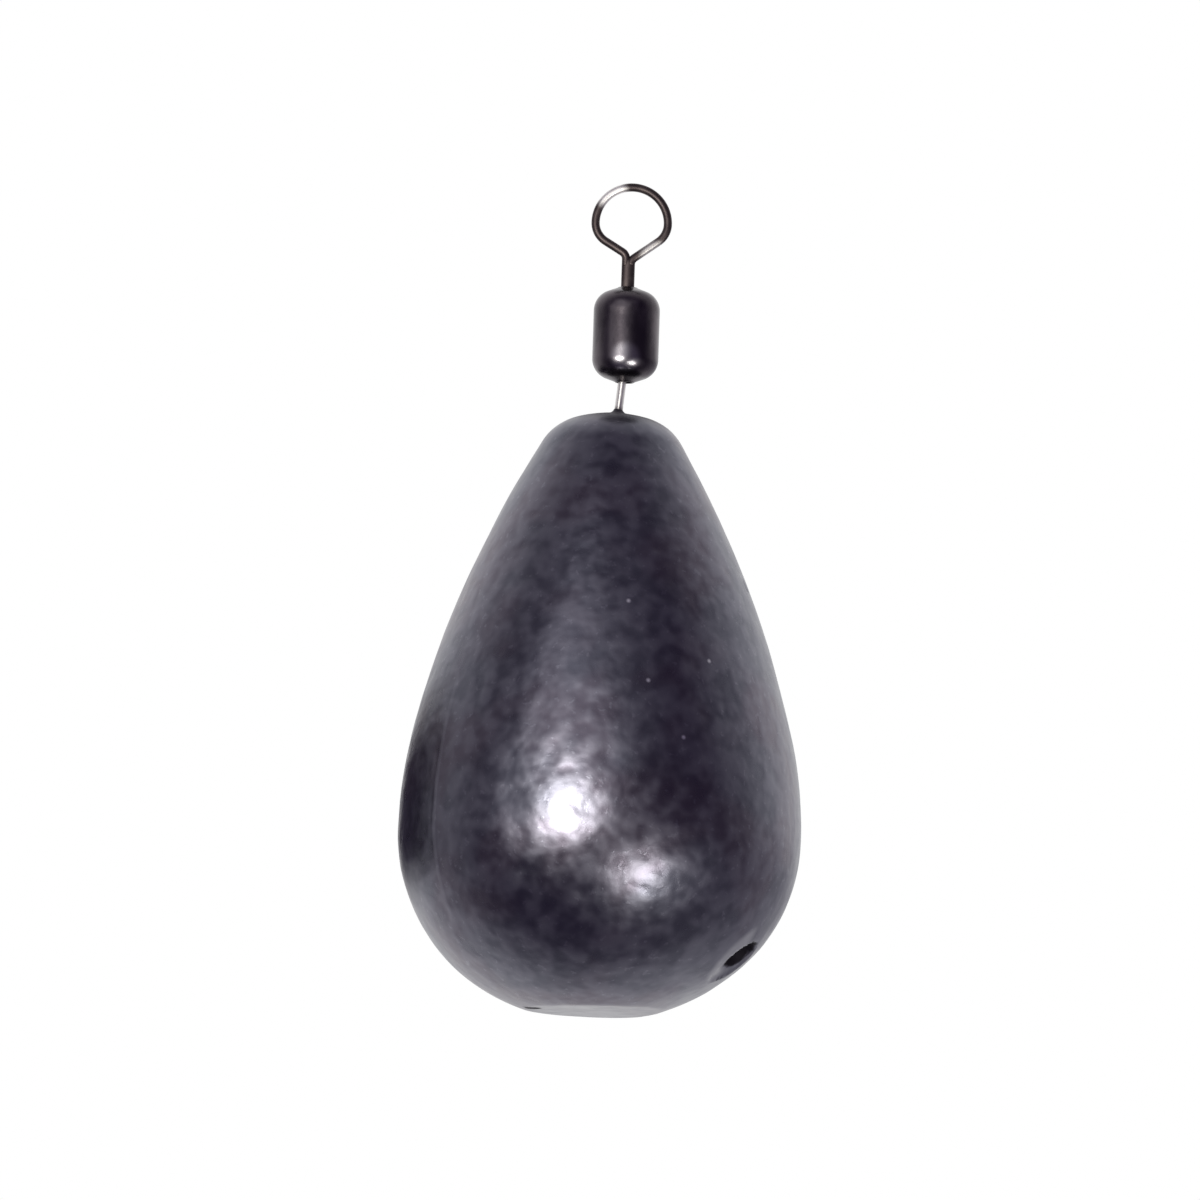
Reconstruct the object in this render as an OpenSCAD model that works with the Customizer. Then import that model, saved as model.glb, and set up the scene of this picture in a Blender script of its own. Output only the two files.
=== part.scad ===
// Pear-shaped lead fishing sinker with a swivel cast into its nose.
// The sinker stands on its cut base at z = 0 and the line eye points up.
// All lengths are in millimetres and all angles in degrees.

/* [Lead body] */
// Widest diameter of the pear
body_d = 19.45; // [16:0.05:24]
// Height from the cut base to the crown
body_h = 29.05; // [27:0.05:36]
// Diameter of the flat left where the sprue was cut off
base_flat_d = 6.6; // [4:0.1:9]
// Radius of the bowl below the widest line
bowl_r = 8.95; // [7.5:0.05:11]
// Radius of the belly just above the widest line, as a share of the height
belly_share = 0.72; // [0.6:0.01:0.85]
// Radius of the nearly straight flank, as a share of the height
flank_share = 1.8; // [1.2:0.05:4]
// Diameter at which the shoulder would stand upright
nose_d = 7.5; // [6:0.1:9]
// Radius of the rounded shoulder
shoulder_r = 2.7; // [1.5:0.05:2.9]
// Radius of the shallow crown
crown_r = 7; // [5:0.1:12]

/* [Casting marks] */
// Width of the parting line that the mould left, at the widest line
seam_w = 0.3; // [0.1:0.05:0.8]
// Height that the parting line stands proud
seam_h = 0.05; // [0.02:0.01:0.15]
// Turn of the parting line about the axis
seam_turn = 35; // [-180:5:180]
// Width of the casting pit low on the side
pit_w = 2.6; // [1:0.1:4]
// Depth of the casting pit
pit_depth = 0.7; // [0.2:0.05:1.2]
// Turn of the casting pit about the axis
pit_turn = -25; // [-180:5:180]
// Angle of the casting pit below the widest line
pit_drop = 40; // [20:1:55]
// Width of the second lobe that runs out of the pit
lobe_w = 1.6; // [0.5:0.1:2.5]
// Depth of that second lobe
lobe_depth = 0.35; // [0.1:0.05:0.7]
// Angle from the pit to the middle of its second lobe
lobe_turn = 9; // [5:1:14]
// Width of the shallow dimple beside the base
dimple_w = 1.3; // [0.5:0.1:2.5]
// Depth of the shallow dimple
dimple_depth = 0.12; // [0.05:0.01:0.3]
// Turn of the dimple about the axis
dimple_turn = -40; // [-180:5:180]
// Angle of the dimple below the widest line
dimple_drop = 58; // [40:1:64]
// Height to which the lead climbed the wire as it set
climb_h = 0.2; // [0.05:0.05:0.4]

/* [Swivel barrel] */
// Outer diameter of the barrel
barrel_d = 3.2; // [2.8:0.05:4.2]
// Length of the barrel over its closed-in ends
barrel_len = 4.65; // [3.8:0.05:7]
// Thickness of the barrel wall
barrel_wall = 0.3; // [0.2:0.05:0.4]
// Outer radius of the bend into each closed-in end
end_bend_r = 1; // [0.7:0.05:1.2]
// Angle of the closed-in ends from the axis
end_angle = 61; // [50:1:70]
// Bare neck between the crown and the barrel
neck_gap = 1.5; // [1.2:0.05:2]
// Distance of the barrel from the axis of the lead
barrel_shift = 0.5; // [0:0.05:0.9]
// Lean of the cast-in eye against the barrel
anchor_lean = 5.5; // [0:0.5:8]

/* [Wire eyes] */
// Diameter of the wire
wire_d = 0.4; // [0.3:0.02:0.5]
// Inside diameter of the ring
ring_d = 3.1; // [2.4:0.1:4]
// Centreline radius of the ring's lower cheeks
cheek_r = 1.06; // [0.7:0.02:1.3]
// Centreline radius of the bend from leg to shank
neck_bend_r = 0.39; // [0.25:0.01:0.6]
// Width of the two legs pressed together in the shank
shank_w = 0.64; // [0.56:0.02:0.8]
// Straight shank of the line eye between the barrel and the first bend
shank_len = 1.13; // [0.6:0.01:1.6]
// Straight shank of the cast-in eye below the crown, before its legs part
shank_bed = 0.35; // [0.2:0.05:1.5]
// Angle of the cast-in eye's legs from its shank
leg_angle = 56.5; // [48:0.5:65]
// Amount by which the line eye's legs differ from that angle
leg_skew = 2.5; // [0:0.5:6]
// Sideways shift of the line eye's ring from its shank
ring_shift = 0.1; // [0:0.02:0.25]
// Room between a head and the bore of the barrel
head_room = 0.3; // [0.1:0.05:0.5]
// Distance from a head's centre to its flat back
head_back = 0.3; // [0.15:0.05:0.5]
// Clearance between a head and its seat in the barrel
seat_clear = 0.05; // [0.02:0.01:0.1]
// Clearance between a shank and the hole it turns in
shank_clear = 0.05; // [0.03:0.01:0.1]

/* [Hidden] */

// Largest angle and length of a facet
$fa = 3;
$fs = 0.06;

// Angle by which each half of a ring runs past its top
ring_lap = 12;

// Angle by which a tighter arc of the outline runs on inside the next one
arc_lap = 2;

// Unit vector at an angle in the plane
function aim(angle) = [cos(angle), sin(angle)];

// Direction of a line in the plane, from one point to another
function bearing(start, end) = atan2(end[1] - start[1], end[0] - start[0]);

// Radius of the ball that leaves a cut of a given width and depth
function ball_r(width, depth) = (width * width / 4 + depth * depth) / (2 * depth);

// The pear's outline is a chain of five tangent arcs, each given by its centre.
// Bowl and belly meet at the widest line, so both centres lie at its height.
body_r = body_d / 2;
belly_r = belly_share * body_h;
flank_r = flank_share * body_h;
bowl_x = body_r - bowl_r;
belly_z = sqrt(bowl_r * bowl_r - pow(base_flat_d / 2 - bowl_x, 2));
bowl_c = [bowl_x, belly_z];
belly_c = [body_r - belly_r, belly_z];
crown_c = [0, body_h - crown_r];
shoulder_x = nose_d / 2 - shoulder_r;
shoulder_c = crown_c + [shoulder_x, sqrt(pow(crown_r - shoulder_r, 2) - shoulder_x * shoulder_x)];

// The flank touches belly and shoulder from outside, so its centre is the far
// corner of a triangle that stands on the line between those two centres.
flank_span = norm(shoulder_c - belly_c);
flank_to_belly = flank_r - belly_r;
flank_to_shoulder = flank_r - shoulder_r;
flank_along = (pow(flank_span, 2) + pow(flank_to_belly, 2) - pow(flank_to_shoulder, 2)) / (2 * flank_span);
flank_aside = sqrt(pow(flank_to_belly, 2) - pow(flank_along, 2));
flank_line = (shoulder_c - belly_c) / flank_span;
flank_c = belly_c + flank_along * flank_line + flank_aside * [-flank_line[1], flank_line[0]];

belly_end = bearing(flank_c, belly_c);
flank_end = bearing(flank_c, shoulder_c);
shoulder_end = bearing(crown_c, shoulder_c);
flank_top = shoulder_c[1] + shoulder_r * sin(flank_end);

// Barrel
barrel_r = barrel_d / 2;
bore_r = barrel_r - barrel_wall;
bend_x = barrel_r - end_bend_r;
head_r = bore_r - head_room;

// The two legs overlap where they are pressed into one shank.
wire_r = wire_d / 2;
leg_x = (shank_w - wire_d) / 2;
shank_reach = leg_x + wire_r;

// The hole clears the leaning shank. A lip lies about a head's radius from its centre.
hole_r = norm([head_r * sin(anchor_lean), leg_x]) + wire_r + shank_clear;
lip_r = barrel_wall / 2;
end_straight = (bend_x + (end_bend_r - lip_r) * cos(end_angle) - hole_r - lip_r) / sin(end_angle);
end_rise = (end_bend_r - lip_r) * sin(end_angle) + end_straight * cos(end_angle) + lip_r;
bend_z = barrel_len / 2 - end_rise;

// A ball head seats against the cone inside the closed-in end.
seat_gap = head_r + seat_clear;
head_z = bend_z + (end_bend_r - barrel_wall - seat_gap + bend_x * cos(end_angle)) / sin(end_angle);
head_to_lip = barrel_len / 2 - head_z;

// Rings of both eyes, measured from the centres of their heads
ring_r = ring_d / 2 + wire_r;
function leg_len(angle, shift) =
    (shift + ring_r - cheek_r + cheek_r * cos(angle) - neck_bend_r * (1 - cos(angle)) - leg_x) / sin(angle);
function leg_rise(angle, shift) = (cheek_r + neck_bend_r) * sin(angle) + leg_len(angle, shift) * cos(angle);
line_rise = head_to_lip + shank_len + leg_rise(leg_angle - leg_skew, ring_shift);
anchor_rise = head_to_lip + neck_gap + shank_bed + leg_rise(leg_angle, 0);

// Places of the swivel on the lead
barrel_z = body_h + neck_gap + barrel_len / 2;
anchor_z = barrel_z - head_z;
line_z = barrel_z + head_z;
exit_x = barrel_shift - (anchor_z - body_h) * tan(anchor_lean);
climb_z = crown_c[1] + sqrt(pow(crown_r, 2) - pow(exit_x + shank_reach + climb_h, 2));

// Slice of a disc between two angles
module sector(centre, radius, from, to) {
    reach = 2 * radius;
    middle = (from + to) / 2;
    translate(centre)
        intersection() {
            circle(r = radius);
            polygon([[0, 0], reach * aim(from), reach * aim(middle), reach * aim(to)]);
        }
}

// Half outline of the pear, standing on the base, grown by a skin thickness
module body_outline(skin) {
    intersection() {
        square([body_r + skin, body_h + skin]);
        union() {
            square([max(bowl_x, base_flat_d / 4), belly_z]);
            sector(bowl_c, bowl_r + skin, -180, arc_lap);
            sector(belly_c, belly_r + skin, 0, belly_end + arc_lap);
            sector(flank_c, flank_r + skin, belly_end, flank_end);
            sector(shoulder_c, shoulder_r + skin, flank_end - arc_lap, shoulder_end + arc_lap);
            sector(crown_c, crown_r + skin, shoulder_end, 90);
        }
    }
}

// Raised line where the two halves of the mould met, from base to shoulder
module parting_line() {
    spread = 2 * asin(seam_w / body_d);
    rotate_extrude(angle = spread, start = seam_turn - spread / 2)
        intersection() {
            difference() {
                body_outline(seam_h);
                body_outline(-seam_w);
            }
            square([body_d, flank_top]);
        }
}

// Lead that climbed the wire and set as a small concave collar
module wire_collar() {
    translate([exit_x, 0, climb_z])
        rotate_extrude()
            difference() {
                translate([shank_reach, -climb_h]) square([climb_h, 2 * climb_h]);
                translate([shank_reach + climb_h, climb_h]) circle(r = climb_h);
            }
}

// Ball that scoops a mark out of the bowl at an angle below the widest line
module scoop(width, depth, turn, drop) {
    ball = ball_r(width, depth);
    skin = bowl_x * cos(drop) + sqrt(bowl_r * bowl_r - pow(bowl_x * sin(drop), 2));
    translate([0, 0, belly_z])
        rotate([0, 0, turn])
            rotate([0, drop, 0])
                translate([skin - depth + ball, 0, 0])
                    sphere(r = ball);
}

// Bent stretch of wire. Its round section starts on the outer side of the eye
// all along, so a bend that turns the other way starts it half a turn round.
module bend(radius, from, turn, section_turn) {
    rotate_extrude(angle = turn, start = from)
        translate([radius, 0]) rotate(section_turn) circle(d = wire_d);
}

// Straight stretch of wire that runs down from where it starts
module straight(length) {
    rotate([90, 0, 0]) cylinder(d = wire_d, h = length);
}

// Right half of an eye, flat in the XY plane: ring, cheek, leg, neck and shank.
// Each stretch is placed from the end of the one before it, and the half stops
// at the middle, where the ring closes and the two legs are pressed together.
module eye_half(angle, shift, rise) {
    leg = leg_len(angle, shift);
    intersection() {
        translate([shift, rise]) {
            bend(ring_r, 0, 90 + ring_lap, 0);
            translate([ring_r - cheek_r, 0]) {
                bend(cheek_r, -angle, angle, 0);
                rotate(-angle) translate([cheek_r, 0]) {
                    straight(leg);
                    translate([neck_bend_r, -leg]) {
                        bend(neck_bend_r, 180, angle, 180);
                        rotate(angle)
                            translate([-neck_bend_r, 0])
                                straight(rise - leg_rise(angle, shift));
                    }
                }
            }
        }
        translate([0, -wire_d, -wire_d])
            cube([2 * ring_r, rise + 2 * ring_r, 2 * wire_d]);
    }
}

// Wire loop of an eye standing on the centre of its head, in the XZ plane
module eye_loop(skew, shift, rise) {
    rotate([90, 0, 0]) {
        eye_half(leg_angle - skew, shift, rise);
        mirror([1, 0, 0]) eye_half(leg_angle + skew, -shift, rise);
    }
}

// Button that the wire ends were upset into, round towards the shank
module eye_head() {
    intersection() {
        sphere(r = head_r);
        translate([-head_r, -head_r, -head_back]) cube(2 * head_r);
    }
}

// Turns an eye over and leans it into the nose of the lead
module at_anchor() {
    translate([barrel_shift, 0, anchor_z])
        rotate([0, 180 + anchor_lean, 0])
            rotate([0, 0, 90])
                children();
}

// Flat bed that the lead keeps around the cast-in wire, as thick as the wire.
// A round core of lead stands through the ring and locks it in.
module wire_bed() {
    edge = wire_r * aim(-leg_angle);
    cheek_end = [ring_r - cheek_r, anchor_rise] + cheek_r * aim(-leg_angle);
    neck_end = cheek_end - leg_len(leg_angle, 0) * [sin(leg_angle), cos(leg_angle)];
    shank_top = anchor_rise - leg_rise(leg_angle, 0);
    core_r = (ring_r - cheek_r) * cos(leg_angle) + cheek_r - wire_r;
    side = [[shank_reach, 0], [shank_reach, shank_top], neck_end + edge, cheek_end + edge];

    rotate([90, 0, 0])
        linear_extrude(height = wire_d, center = true)
            difference() {
                union() {
                    translate([0, anchor_rise]) circle(r = ring_r + wire_r);
                    polygon(concat(side, [for (i = [3:-1:0]) [-side[i][0], side[i][1]]]));
                }
                translate([0, anchor_rise]) circle(r = core_r);
            }
}

// One closed-in end of the barrel wall, as a half section
module barrel_end() {
    translate([bore_r, 0]) square([barrel_wall, bend_z]);
    translate([bend_x, bend_z]) {
        difference() {
            sector([0, 0], end_bend_r, 0, end_angle);
            circle(r = end_bend_r - barrel_wall);
        }
        rotate(end_angle) {
            translate([end_bend_r - barrel_wall, 0]) square([barrel_wall, end_straight]);
            translate([end_bend_r - lip_r, end_straight]) circle(r = lip_r);
        }
    }
}

// Cast lead pear with its parting line, casting pits and the bed of the wire
module sinker_body() {
    color([0.24, 0.23, 0.27])
        union() {
            difference() {
                rotate_extrude() body_outline(0);
                at_anchor() wire_bed();
                scoop(pit_w, pit_depth, pit_turn, pit_drop);
                scoop(lobe_w, lobe_depth, pit_turn - lobe_turn, pit_drop + lobe_turn);
                scoop(dimple_w, dimple_depth, dimple_turn, dimple_drop);
            }
            for (side = [0, 180]) rotate(side) parting_line();
            wire_collar();
        }
}

// Lower eye of the swivel, with its ring cast into the lead
module anchor_eye() {
    color([0.33, 0.28, 0.28])
        at_anchor() {
            eye_loop(0, 0, anchor_rise);
            eye_head();
        }
}

// Hollow barrel closed in over both heads
module swivel_barrel() {
    color([0.16, 0.15, 0.18])
        translate([barrel_shift, 0, barrel_z])
            rotate_extrude() {
                barrel_end();
                mirror([0, 1, 0]) barrel_end();
            }
}

// Upper eye of the swivel, which takes the line
module line_eye() {
    color([0.33, 0.28, 0.28])
        translate([barrel_shift, 0, line_z]) {
            eye_loop(leg_skew, ring_shift, line_rise);
            eye_head();
        }
}

sinker_body();
anchor_eye();
swivel_barrel();
line_eye();
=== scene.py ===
# %% [markdown]
# # A cast lead sinker with a rolling swivel
#
# This lesson dresses a small fishing sinker. The real object is a pear of lead
# that was poured round one eye of a swivel. The swivel is a short hollow barrel
# with a wire eye caught in each end, and its upper eye takes the line.
#
# The construction is already there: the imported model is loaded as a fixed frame,
# and every piece made here is put exactly where that frame has it. All places
# are in metres, with +Z up and the origin in the middle of the cut base.

# %% Load the frame
import math

import bmesh
import bpy
from mathutils import Matrix, Vector, noise


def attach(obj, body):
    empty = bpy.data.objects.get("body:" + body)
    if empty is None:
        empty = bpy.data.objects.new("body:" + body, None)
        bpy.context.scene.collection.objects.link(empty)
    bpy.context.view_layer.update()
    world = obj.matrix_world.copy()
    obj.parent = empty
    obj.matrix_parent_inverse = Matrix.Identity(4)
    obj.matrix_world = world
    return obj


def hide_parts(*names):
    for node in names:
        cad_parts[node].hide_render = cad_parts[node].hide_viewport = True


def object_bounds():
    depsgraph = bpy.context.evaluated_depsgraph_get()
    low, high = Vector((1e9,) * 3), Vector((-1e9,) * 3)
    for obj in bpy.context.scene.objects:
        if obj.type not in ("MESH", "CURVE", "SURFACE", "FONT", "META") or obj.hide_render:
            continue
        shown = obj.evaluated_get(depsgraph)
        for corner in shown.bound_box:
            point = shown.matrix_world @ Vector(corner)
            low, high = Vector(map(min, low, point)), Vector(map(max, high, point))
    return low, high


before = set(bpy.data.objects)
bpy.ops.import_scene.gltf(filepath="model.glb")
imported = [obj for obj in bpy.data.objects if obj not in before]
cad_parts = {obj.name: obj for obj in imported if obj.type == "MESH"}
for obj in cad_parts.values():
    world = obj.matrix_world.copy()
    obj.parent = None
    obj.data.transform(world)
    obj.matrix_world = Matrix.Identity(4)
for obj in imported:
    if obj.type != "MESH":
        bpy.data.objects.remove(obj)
cad_low, cad_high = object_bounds()
MM = 0.001
print("the frame is %.2f mm tall" % ((cad_high.z - cad_low.z) / MM))

# %% [markdown]
# ## Camera
#
# The photograph looks slightly up at the sinker, so that the cut base shows as a
# thin crescent, and the sinker leans a little to the right. The sinker stays
# upright here: the camera is dropped and rolled instead. A long lens far away
# keeps the outline as flat as it is in the photograph.

# %% Set up the camera
PHOTO_PX = 1200
MM_PER_PX = 0.0483
CAMERA_DROP = math.radians(6)
CAMERA_ROLL = math.radians(1.86)
CAMERA_AWAY = 1.0
SENSOR = 0.036
AIM_AT = Vector((-0.343, 0, 19.96)) * MM

forward = Vector((0, math.cos(CAMERA_DROP), math.sin(CAMERA_DROP)))
level = Vector((1, 0, 0))
upward = level.cross(forward)
right = math.cos(CAMERA_ROLL) * level + math.sin(CAMERA_ROLL) * upward

camera = bpy.data.objects.new("camera", bpy.data.cameras.new("camera"))
camera.data.sensor_width = SENSOR / MM
camera.data.lens = SENSOR * CAMERA_AWAY / (PHOTO_PX * MM_PER_PX * MM) / MM
camera.matrix_world = Matrix.Translation(AIM_AT - CAMERA_AWAY * forward) @ Matrix(
    (right, right.cross(forward), -forward)
).transposed().to_4x4()
bpy.context.scene.collection.objects.link(camera)
bpy.context.scene.camera = camera
bpy.context.scene.view_settings.view_transform = "Standard"
print("lens %.0f mm" % camera.data.lens)

# %% [markdown]
# ## Shader maths in plain Python
#
# A finish is a sum of simple patterns. It could be drawn by hand in the shader
# editor, or added node by node, but such a sum is hard to read afterwards. So one
# small class wraps a socket. Adding or multiplying two wrapped sockets adds the
# Math node for it, and every other node comes from one method.

# %% A socket that does sums
# The Mix node has sockets for several kinds of value. These are its colour ones.
MIX_SHARE, MIX_OFF, MIX_ON, MIX_RESULT = 0, 6, 7, 2


class Shade:
    """A value on its way to a shader, which can be added, multiplied and mixed."""

    def __init__(self, tree, socket):
        self.tree = tree
        self.socket = socket

    def node(self, kind, settings, sockets, output=0):
        """Adds a node, makes its settings first, then fills its sockets."""
        made = self.tree.nodes.new(kind)
        for name, setting in settings.items():
            setattr(made, name, setting)
        for name, value in sockets.items():
            plug(self.tree, made.inputs[name], value)
        return Shade(self.tree, made.outputs[output])

    def maths(self, operation, first, second):
        """Adds a Math node on two values."""
        return self.node("ShaderNodeMath", {"operation": operation}, {0: first, 1: second})

    def __add__(self, other):
        return self.maths("ADD", self, other)

    def __sub__(self, other):
        return self.maths("SUBTRACT", self, other)

    def __rsub__(self, other):
        return self.maths("SUBTRACT", other, self)

    def __mul__(self, other):
        return self.maths("MULTIPLY", self, other)

    __radd__ = __add__
    __rmul__ = __mul__

    def larger(self, other):
        """The larger of two values."""
        return self.maths("MAXIMUM", self, other)

    def step(self, low, high):
        """A soft step from 0 at low to 1 at high, even where low is the larger."""
        return self.node(
            "ShaderNodeMapRange",
            {"interpolation_type": "SMOOTHSTEP"},
            {"Value": self, "From Min": low, "From Max": high},
        )

    def tint(self, off, on):
        """One colour where this shade is 0 and another where it is 1."""
        return self.node(
            "ShaderNodeMix",
            {"data_type": "RGBA"},
            {MIX_SHARE: self, MIX_OFF: off, MIX_ON: on},
            output=MIX_RESULT,
        )

    def along(self, direction):
        """How far a place or direction lies along another one."""
        return self.node(
            "ShaderNodeVectorMath", {"operation": "DOT_PRODUCT"}, {0: self, 1: direction}, output=1
        )

    def distance(self, point):
        """How far a place is from a point."""
        return self.node(
            "ShaderNodeVectorMath", {"operation": "DISTANCE"}, {0: self, 1: point}, output=1
        )

    def cloud(self, size, detail=2.0, rough=0.5, stretch=(1, 1, 1), shift=(0, 0, 0)):
        """Soft noise from 0 to 1, with blobs of about that size in millimetres."""
        place = self.node(
            "ShaderNodeMapping", {}, {"Vector": self, "Location": shift, "Scale": stretch}
        )
        return place.node(
            "ShaderNodeTexNoise",
            {},
            {"Vector": place, "Scale": 1 / size, "Detail": detail, "Roughness": rough},
        )


# %% Fill sockets
def plug(tree, socket, value):
    """Links a shade to a socket, or sets a plain value on it."""
    if isinstance(value, Shade):
        tree.links.new(value.socket, socket)
    else:
        socket.default_value = value


# %% [markdown]
# Every finish starts with the main shader and with places on the piece. These
# could come from a UV map, but none of the pieces has a seam to unfold along. Each
# piece sits at the origin, so its Object coordinates are places in the frame, here
# turned into millimetres.

# %% Start a finish and put it on
def new_finish(name):
    """A material, its main shader, and places on the piece in millimetres."""
    material = bpy.data.materials.new(name)
    material.use_nodes = True
    tree = material.node_tree
    coordinates = Shade(tree, tree.nodes.new("ShaderNodeTexCoord").outputs["Object"])
    places = coordinates.node(
        "ShaderNodeMapping", {}, {"Vector": coordinates, "Scale": (1 / MM, 1 / MM, 1 / MM)}
    )
    return material, tree.nodes["Principled BSDF"], places


def dress(shader, places, colour, metallic, roughness, height, relief):
    """Fills the main shader. The height, from 0 to 1, is as deep as the relief."""
    tree = places.tree
    plug(tree, shader.inputs["Base Color"], colour)
    plug(tree, shader.inputs["Metallic"], metallic)
    plug(tree, shader.inputs["Roughness"], roughness)
    bump = height.node("ShaderNodeBump", {}, {"Height": height, "Distance": relief})
    plug(tree, shader.inputs["Normal"], bump)


# %% [markdown]
# ## Studio
#
# The sinker was photographed on pure white. Its rims mirror that white, and its
# middle mirrors the dark side of the room, where the camera stands. A photograph
# of a real studio could be wrapped round the scene, but a few soft steps of
# direction do as well and can be tuned one by one. So the world is white behind
# and beside the object and dark in front, but for the soft glow of pale things in
# the room and a dim corner low on the right. What the camera itself sees is plain
# white.

# %% Make the world
WHITE = (1, 1, 1, 1)
DIM = (0.52, 0.51, 0.55, 1)
DARK_ROOM = (0.068, 0.049, 0.1, 1)
GLOW = (0.76, 0.745, 0.8, 1)
# The room is darkest within the first angle from the camera, and white past the second.
ROOM_DARK, ROOM_PALE = 66, 150
# The corner fades in between two heights, out again lower down, and in to the right.
CORNER_TOP, CORNER_FOOT, CORNER_SIDE = (0.12, -0.1), (-0.85, -0.5), (0, 0.5)
GLOW_CORE = 4
GLOWS = [
    # azimuth, elevation and reach in degrees, and strength
    (-27, 33, 24, 1.0),
    (-10, 19, 28, 1.0),
    (-45, 9, 22, 0.7),
    (50, -27, 28, 0.4),
    (22, 40, 16, 0.2),
]
TO_CAMERA = -forward


def cosine(degrees):
    """The length of one direction along another at this angle to it."""
    return math.cos(math.radians(degrees))


def toward(azimuth, elevation):
    """Unit vector to the left or right of the photograph's view, and above the level."""
    a, e = math.radians(azimuth), math.radians(elevation)
    return Vector((math.sin(a) * math.cos(e), -math.cos(a) * math.cos(e), math.sin(e)))


world = bpy.data.worlds.new("studio")
bpy.context.scene.world = world
world.use_nodes = True
sky = world.node_tree
looking = Shade(sky, sky.nodes.new("ShaderNodeTexCoord").outputs["Generated"])
by_camera = Shade(sky, sky.nodes.new("ShaderNodeLightPath").outputs["Is Camera Ray"])
looking_up = looking.along((0, 0, 1))
corner = looking_up.step(*CORNER_TOP) * looking_up.step(*CORNER_FOOT)
corner = corner * looking.along((1, 0, 0)).step(*CORNER_SIDE)
darkness = looking.along(TO_CAMERA).step(cosine(ROOM_PALE), cosine(ROOM_DARK))
around = darkness.tint(corner.tint(WHITE, DIM), DARK_ROOM)
for azimuth, elevation, reach, strength in GLOWS:
    glow = looking.along(toward(azimuth, elevation)).step(cosine(reach), cosine(GLOW_CORE))
    around = (strength * glow).tint(around, GLOW)
plug(sky, sky.nodes["Background"].inputs["Color"], by_camera.tint(around, WHITE))
print("the world has %d nodes" % len(sky.nodes))

# %% [markdown]
# The sinker hung free in the photograph, and the camera looked up at it. A floor
# right under it would hide its cut base, so this one lies far below. Metal looks
# straight through it, and sees the white behind and the dark in front. A part of
# the floor's brightness is its own, so that it blends into the white and still
# takes a shadow.

# %% Lay the floor
FLOOR_Z = -0.7
FLOOR_R = 3.0
FLOOR_SIDES = 64
PAPER = (0.8, 0.8, 0.8, 1)
BLACK = (0, 0, 0, 1)
MATT = 0.9
NO_METAL = 0.0
PAPER_GLOW = 0.5
PAPER_FIBRE = 3.0
PAPER_RELIEF = 0.02 * MM


def set_stage(bm, name, finish):
    """A thing of the studio, which is no part of the sinker."""
    mesh = bpy.data.meshes.new(name)
    bm.to_mesh(mesh)
    bm.free()
    mesh.materials.append(finish)
    thing = bpy.data.objects.new(name, mesh)
    bpy.context.scene.collection.objects.link(thing)
    return thing


paper, paper_shader, paper_places = new_finish("pale_paper")
paths = paper.node_tree.nodes.new("ShaderNodeLightPath")
seen = Shade(paper.node_tree, paths.outputs["Is Camera Ray"]).larger(
    Shade(paper.node_tree, paths.outputs["Is Glossy Ray"])
)
plug(paper.node_tree, paper_shader.inputs["Emission Color"], seen.tint(BLACK, WHITE))
plug(paper.node_tree, paper_shader.inputs["Emission Strength"], PAPER_GLOW)
fibres = paper_places.cloud(PAPER_FIBRE)
dress(paper_shader, paper_places, PAPER, NO_METAL, MATT, fibres, PAPER_RELIEF)

sheet = bmesh.new()
bmesh.ops.create_circle(
    sheet,
    cap_ends=True,
    segments=FLOOR_SIDES,
    radius=FLOOR_R,
    matrix=Matrix.Translation((0, 0, FLOOR_Z)),
)
floor = set_stage(sheet, "floor", paper)
floor.visible_glossy = False
print("the floor lies %.0f mm below the base" % (-FLOOR_Z / MM))

# %% [markdown]
# A small dark card stands close behind the sinker on its left. Photographers
# call such a card a flag: here it shows as the dark band on the left rim, which
# ends above and below where the card ends. Darkness painted into the world would
# reach the whole height of the rim, because it has no place, only a direction.
# The card's edges fade out, and only mirrored rays see it.

# %% Stand the flag
FLAG_AT = Vector((-20, 14, 14)) * MM
FLAG_LONG = 40 * MM
FLAG_TALL = 24 * MM
# Its near, lower and upper edges fade in between these places, in millimetres.
FLAG_NEAR, FLAG_FOOT, FLAG_TOP = (-6, 4), (1, 7), (24, 15)
FELT = (0.06, 0.04, 0.095, 1)
FELT_NAP = 0.4
FELT_RELIEF = 0.05 * MM
# A grid of this size is one metre square.
UNIT_GRID = 0.5

felt, felt_shader, felt_places = new_finish("dark_felt")
nap = felt_places.cloud(FELT_NAP)
dress(felt_shader, felt_places, FELT, NO_METAL, MATT, nap, FELT_RELIEF)
deep, tall = felt_places.along((0, 1, 0)), felt_places.along((0, 0, 1))
thick = deep.step(*FLAG_NEAR) * tall.step(*FLAG_FOOT) * tall.step(*FLAG_TOP)
plug(felt.node_tree, felt_shader.inputs["Alpha"], thick)

card = bmesh.new()
bmesh.ops.create_grid(card, x_segments=1, y_segments=1, size=UNIT_GRID)
bmesh.ops.scale(card, verts=card.verts, vec=(FLAG_TALL, FLAG_LONG, 1))
bmesh.ops.rotate(card, verts=card.verts, matrix=Matrix.Rotation(math.pi / 2, 3, "Y"))
bmesh.ops.translate(card, verts=card.verts, vec=FLAG_AT)
flag = set_stage(card, "flag", felt)
flag.visible_camera = False
flag.visible_diffuse = False
flag.visible_shadow = False
print("the flag is %.0f mm long and %.0f mm tall" % (FLAG_LONG / MM, FLAG_TALL / MM))

# %% [markdown]
# Two soft lamps make the bright marks on the lead and on the barrel. They could
# be moved about until the marks look right. Instead, where each stands was worked
# out from the photograph: the mark's place gives the direction in which the
# surface faces there, and the lamp is where a mirror facing that way would send
# the camera's line of sight. The window is near, so that the barrel sees it lower
# than the lead does.

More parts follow.
